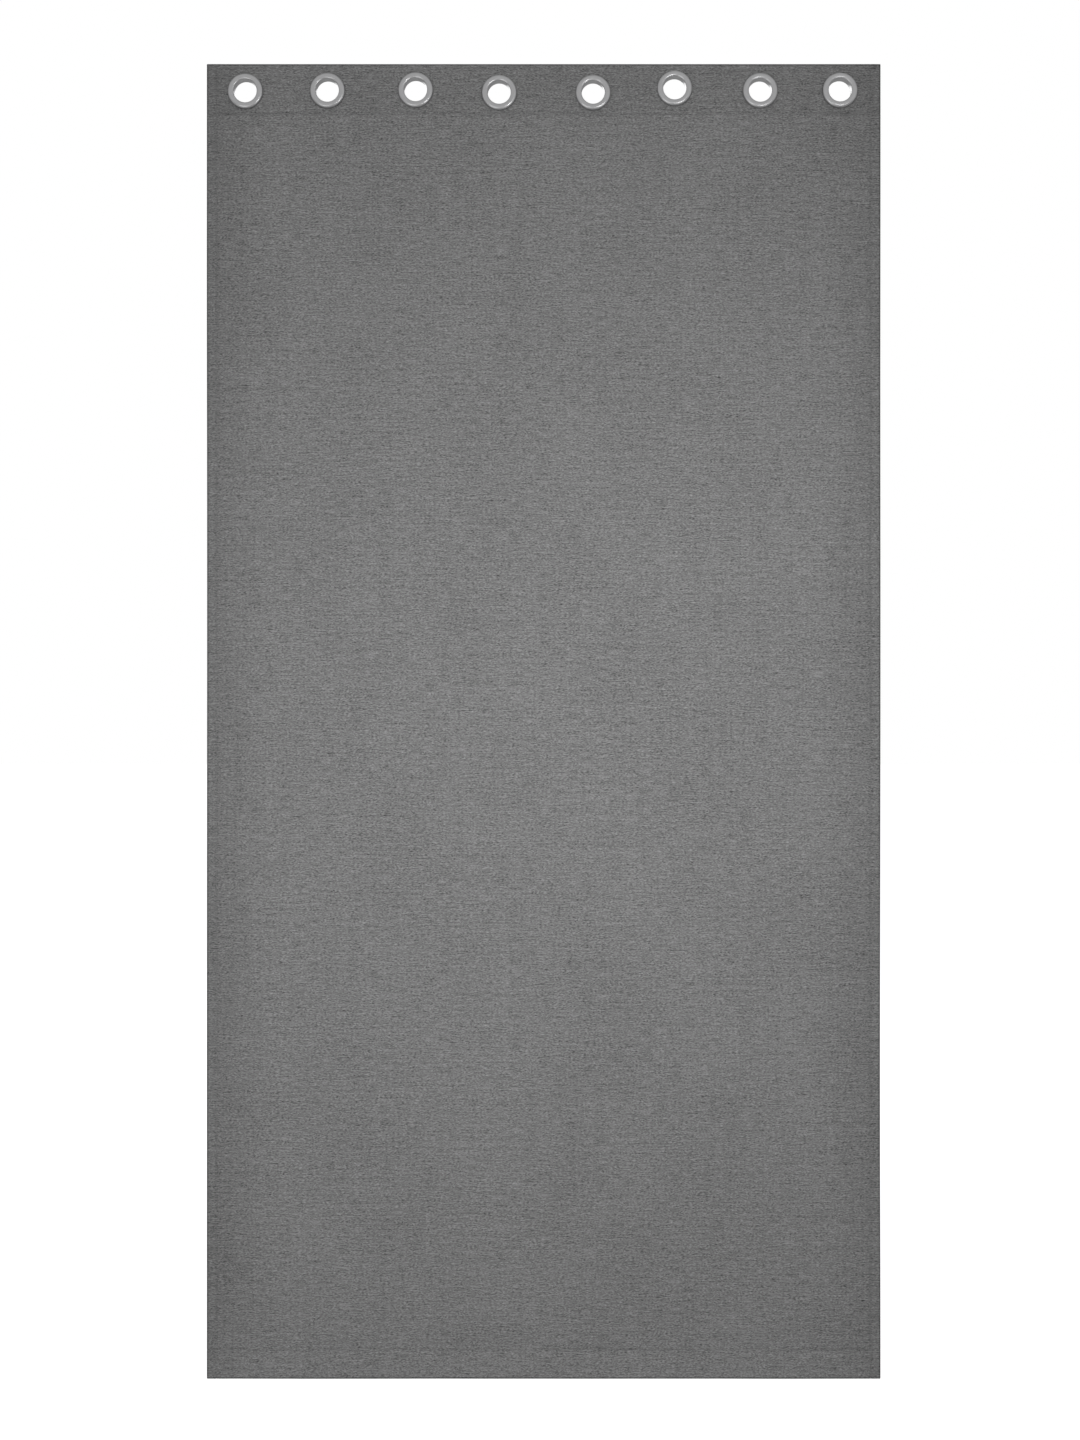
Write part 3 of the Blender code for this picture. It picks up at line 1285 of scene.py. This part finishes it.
@dataclass
class Eyelets:
    """Room-side rings with their barrels, and the snap rings behind them."""

    sizes: PanelSizes
    silver: bpy.types.Material
    clearance: float = 0.3 * MM
    outer_rim: float = 0.6 * MM
    inner_rim: float = 2.2 * MM
    edge_round: float = 0.12 * MM
    dome_steps: int = 18
    around: int = 96

    def build(self) -> list[Piece]:
        """Model one ring of each kind, and copy it to every eyelet.

        Returns:
            All the rings.
        """
        front_low, front_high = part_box("eyelet_front_1")
        back_low, back_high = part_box("eyelet_back_1")
        sizes = self.sizes
        front = self._dome(sizes.bore, front_low.y, -self.clearance)
        front.append((sizes.bore, front_high.y))
        back = self._dome(sizes.barrel_outer + sizes.snap_gap, back_high.y, back_low.y)
        back.append((back[-1][0], back_low.y))
        masters = {"front": self._ring(front), "back": self._ring(back)}
        rings = []
        for index, (x, z) in enumerate(self.sizes.eyelets):
            for kind, master in masters.items():
                rings.append(self._copy(master, kind, index + 1, x, z))
        for master in masters.values():
            drop_object(master)
        log.info("eyelets: %d rings", len(rings))
        return rings

    def _dome(self, inner: float, crest: float, base: float) -> list[tuple[float, float]]:
        """A ring's skin from its outer rim over the crest to its inner wall.

        Args:
            inner: radius of the inner wall.
            crest: y of the highest point.
            base: y of the rims.

        Returns:
            The (radius, y) points.
        """
        outer = self.sizes.ring_outer
        middle = (inner + outer) / 2
        reach = (outer - inner) / 2
        up = math.copysign(1.0, crest - base)
        points = [(outer, base)]
        for step in range(self.dome_steps + 1):
            angle = math.pi * step / self.dome_steps
            rim = self.outer_rim if 2 * step < self.dome_steps else self.inner_rim
            shoulder = base + up * rim
            height = shoulder + (crest - shoulder) * math.sin(angle)
            points.append((middle + reach * math.cos(angle), height))
        return points

    def _ring(self, skin: list[tuple[float, float]]) -> Piece:
        """Draw a circle along a skin's points, then give it its thickness.

        Args:
            skin: (radius, y) points from the outer rim to the inner end.

        Returns:
            The finished ring, with its middle at the origin.
        """
        radius, y = skin[0]
        deselect_all()
        bpy.ops.mesh.primitive_circle_add(
            vertices=self.around, radius=radius, fill_type="NOTHING",
            location=(0.0, y, 0.0), rotation=(math.pi / 2, 0.0, 0.0))
        obj = bpy.context.active_object
        bpy.ops.object.transform_apply(location=True, rotation=True, scale=True)
        bpy.ops.object.mode_set(mode="EDIT")
        bpy.ops.mesh.select_all(action="SELECT")
        for next_radius, next_y in skin[1:]:
            bpy.ops.mesh.extrude_region_move(TRANSFORM_OT_translate={"value": (0.0, next_y - y, 0.0)})
            grow = next_radius / radius
            bpy.ops.transform.resize(value=(grow, 1.0, grow), center_override=(0.0, next_y, 0.0))
            radius, y = next_radius, next_y
        bpy.ops.object.mode_set(mode="OBJECT")
        self._face_outwards(obj, skin)
        wall = self.sizes.barrel_outer - self.sizes.bore
        apply_modifier(obj, "SOLIDIFY", thickness=wall, offset=-1.0, use_even_offset=True)
        apply_modifier(obj, "BEVEL", width=self.edge_round, segments=2,
                       limit_method="ANGLE", angle_limit=math.radians(50))
        return obj

    def _face_outwards(self, obj: Piece, skin: list[tuple[float, float]]) -> None:
        """Turn the skin's faces away from the cloth at its crest.

        Args:
            obj: the ring's open skin.
            skin: its (radius, y) points.
        """
        base = skin[0][1]
        crest = max(skin[:-1], key=lambda point: abs(point[1] - base))[1]
        top = min(obj.data.polygons, key=lambda face: abs(face.center.y - crest))
        if top.normal.y * (crest - base) < 0:
            make_active(obj)
            bpy.ops.object.mode_set(mode="EDIT")
            bpy.ops.mesh.select_all(action="SELECT")
            bpy.ops.mesh.flip_normals()
            bpy.ops.object.mode_set(mode="OBJECT")

    def _copy(self, master: Piece, kind: str, number: int, x: float, z: float) -> Piece:
        """One eyelet's ring, a copy of the modelled one with its own mesh.

        Args:
            master: the modelled ring.
            kind: front or back.
            number: the eyelet's number, from 1.
            x: the eyelet's place across.
            z: its place up.

        Returns:
            The ring.
        """
        obj = bpy.data.objects.new(f"ring_{kind}_{number}", master.data.copy())
        bpy.context.scene.collection.objects.link(obj)
        points = np.array([v.co for v in obj.data.vertices]) + (x, 0.0, z)
        obj.data.vertices.foreach_set("co", points.ravel())
        finish_piece(obj, obj.name, self.silver, 35)
        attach(obj, f"pleat_{number}")
        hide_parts(f"eyelet_{kind}_{number}")
        return obj


# ---- studio


@dataclass(frozen=True)
class SoftLight:
    """A square soft light that hangs off the panel's middle and is aimed near it."""

    name: str
    offset: Place
    aim: Place
    size: float
    watts: float
    spread: float

    def hang(self, middle: Vector) -> None:
        """Add the light.

        Args:
            middle: the panel's middle.
        """
        data = bpy.data.lights.new(self.name, "AREA")
        data.shape = "SQUARE"
        data.size = self.size
        data.energy = self.watts
        data.spread = math.radians(self.spread)
        light = bpy.data.objects.new(self.name, data)
        light.location = middle + Vector(self.offset)
        towards = Vector(self.aim) - Vector(self.offset)
        light.rotation_euler = towards.to_track_quat("-Z", "Y").to_euler()
        bpy.context.scene.collection.objects.link(light)


@dataclass(frozen=True)
class Studio:
    """Pale floor, soft lights and the camera, level with the panel's middle."""

    sizes: PanelSizes
    distance: float = 2.15
    view_height: float = 2.500
    offset_x: float = -6.4 * MM
    offset_z: float = 2.4 * MM
    sensor: float = 36.0
    floor_gap: float = 15.0 * MM
    floor_side: float = 60.0
    floor_tint: Place = (0.76, 0.76, 0.76)
    floor_shown: float = 0.70
    room_glow: float = 0.66
    rear_glow: float = 0.38
    lights: tuple[SoftLight, ...] = (
        SoftLight("key", (0.95, -2.1, 0.65), (-0.1, 0.0, -0.1), 0.65, 3.6, 75.0),
        SoftLight("fill", (-1.0, -2.3, -0.3), (0.0, 0.0, 0.0), 1.8, 3.2, 75.0),
        SoftLight("rear", (-0.8, 2.6, 2.3415), (0.0, 0.0, 0.0), 2.0, 24.0, 180.0),
    )

    def build(self) -> None:
        """Make the camera, the world, the floor and the lights."""
        middle = Vector((0.0, 0.0, (self.sizes.top + self.sizes.bottom) / 2))
        self._camera(middle)
        self._world()
        self._floor()
        for light in self.lights:
            light.hang(middle)

    def _camera(self, middle: Vector) -> None:
        """A level camera whose picture is view_height tall at the panel.

        Args:
            middle: the panel's middle.
        """
        data = bpy.data.cameras.new("camera")
        data.sensor_width = self.sensor
        data.lens = self.sensor * self.distance / self.view_height
        camera = bpy.data.objects.new("camera", data)
        camera.location = (middle.x + self.offset_x, -self.distance, middle.z + self.offset_z)
        camera.rotation_euler = (math.pi / 2, 0.0, 0.0)
        bpy.context.scene.collection.objects.link(camera)
        bpy.context.scene.camera = camera

    def _world(self) -> None:
        """White to look at, and a softer light that is stronger from the room side."""
        world = bpy.data.worlds.new("studio")
        world.use_nodes = True
        tree = world.node_tree
        shown = tree.nodes["Background"]
        shown.inputs["Color"].default_value = (1.0, 1.0, 1.0, 1.0)
        shown.inputs["Strength"].default_value = 1.0
        glow = tree.nodes.new("ShaderNodeBackground")
        glow.inputs["Color"].default_value = (1.0, 1.0, 1.0, 1.0)
        split = tree.nodes.new("ShaderNodeSeparateXYZ")
        tree.links.new(tree.nodes.new("ShaderNodeTexCoord").outputs["Generated"], split.inputs[0])
        front = tree.nodes.new("ShaderNodeMapRange")
        for socket, number in zip(front.inputs[1:], (-0.6, 0.6, self.room_glow, self.rear_glow)):
            socket.default_value = number
        tree.links.new(split.outputs["Y"], front.inputs["Value"])
        tree.links.new(front.outputs[0], glow.inputs["Strength"])
        path = tree.nodes.new("ShaderNodeLightPath")
        mix = tree.nodes.new("ShaderNodeMixShader")
        tree.links.new(path.outputs["Is Camera Ray"], mix.inputs["Fac"])
        tree.links.new(glow.outputs[0], mix.inputs[1])
        tree.links.new(shown.outputs[0], mix.inputs[2])
        tree.links.new(mix.outputs[0], tree.nodes["World Output"].inputs["Surface"])
        bpy.context.scene.world = world
        bpy.context.scene.view_settings.view_transform = "Standard"

    def _floor(self) -> None:
        """A wide pale floor just below the hem, that throws little light back up."""
        deselect_all()
        level = self.sizes.bottom - self.floor_gap
        bpy.ops.mesh.primitive_plane_add(size=self.floor_side, location=(0.0, 0.0, level))
        floor = bpy.context.active_object
        floor.name = "floor"
        board = NodeBoard("pale_floor")
        board.set_shader(Roughness=0.95, Emission_Color=(1.0, 1.0, 1.0, 1.0))
        speckle = board.noise(board.coordinates(), (30.0, 30.0, 30.0), 2.0)
        board.tint(self.floor_tint, board.math("MULTIPLY_ADD", speckle, 0.02, 0.99))
        path = board.tree.nodes.new("ShaderNodeLightPath")
        seen = board.math("MULTIPLY", path.outputs["Is Camera Ray"], self.floor_shown)
        board.put(board.shader.inputs["Emission Strength"], seen)
        floor.data.materials.append(board.material)


def main() -> None:
    """Build the studio, the cloth, its seams and its eyelets, in that order."""
    logging.basicConfig(level=logging.INFO, format="%(name)s: %(message)s")
    sizes = PanelSizes.from_frame(frame)
    Studio(sizes).build()
    hang = HangOfCloth(sizes)
    cloth = SlubbedCloth().build(sizes, hang)
    panel = ClothPanel(sizes, hang, cloth)
    lengths = panel.build()
    hems = {side: SideHem(sizes, hang, cloth, side).build() for side in Side}
    Stiffener(sizes, Buckram().build()).build()
    stitches = Stitches(sizes, hang, SewingThread().build())
    rows = (
        ("heading_stitches", hang.heading_seam, sizes.turn_y),
        ("hem_stitches", hang.hem_seam, sizes.hem_y),
    )
    sewn: dict[int, list[Piece]] = {}
    for number in sizes.lengths:
        sewn[number] = [stitches.across(number, seam, back_y, name) for name, seam, back_y in rows]
    sewn[1] += [stitches.upright(Side.LEFT), hems[Side.LEFT]]
    sewn[len(sizes.folds)] += [stitches.upright(Side.RIGHT), hems[Side.RIGHT]]
    log.info("stitches: %d seams", len(sewn))
    Eyelets(sizes, SatinSilver().build()).build()
    for number, length in zip(sizes.lengths, lengths):
        start, end = sizes.span(number)


if __name__ == "__main__":
    main()
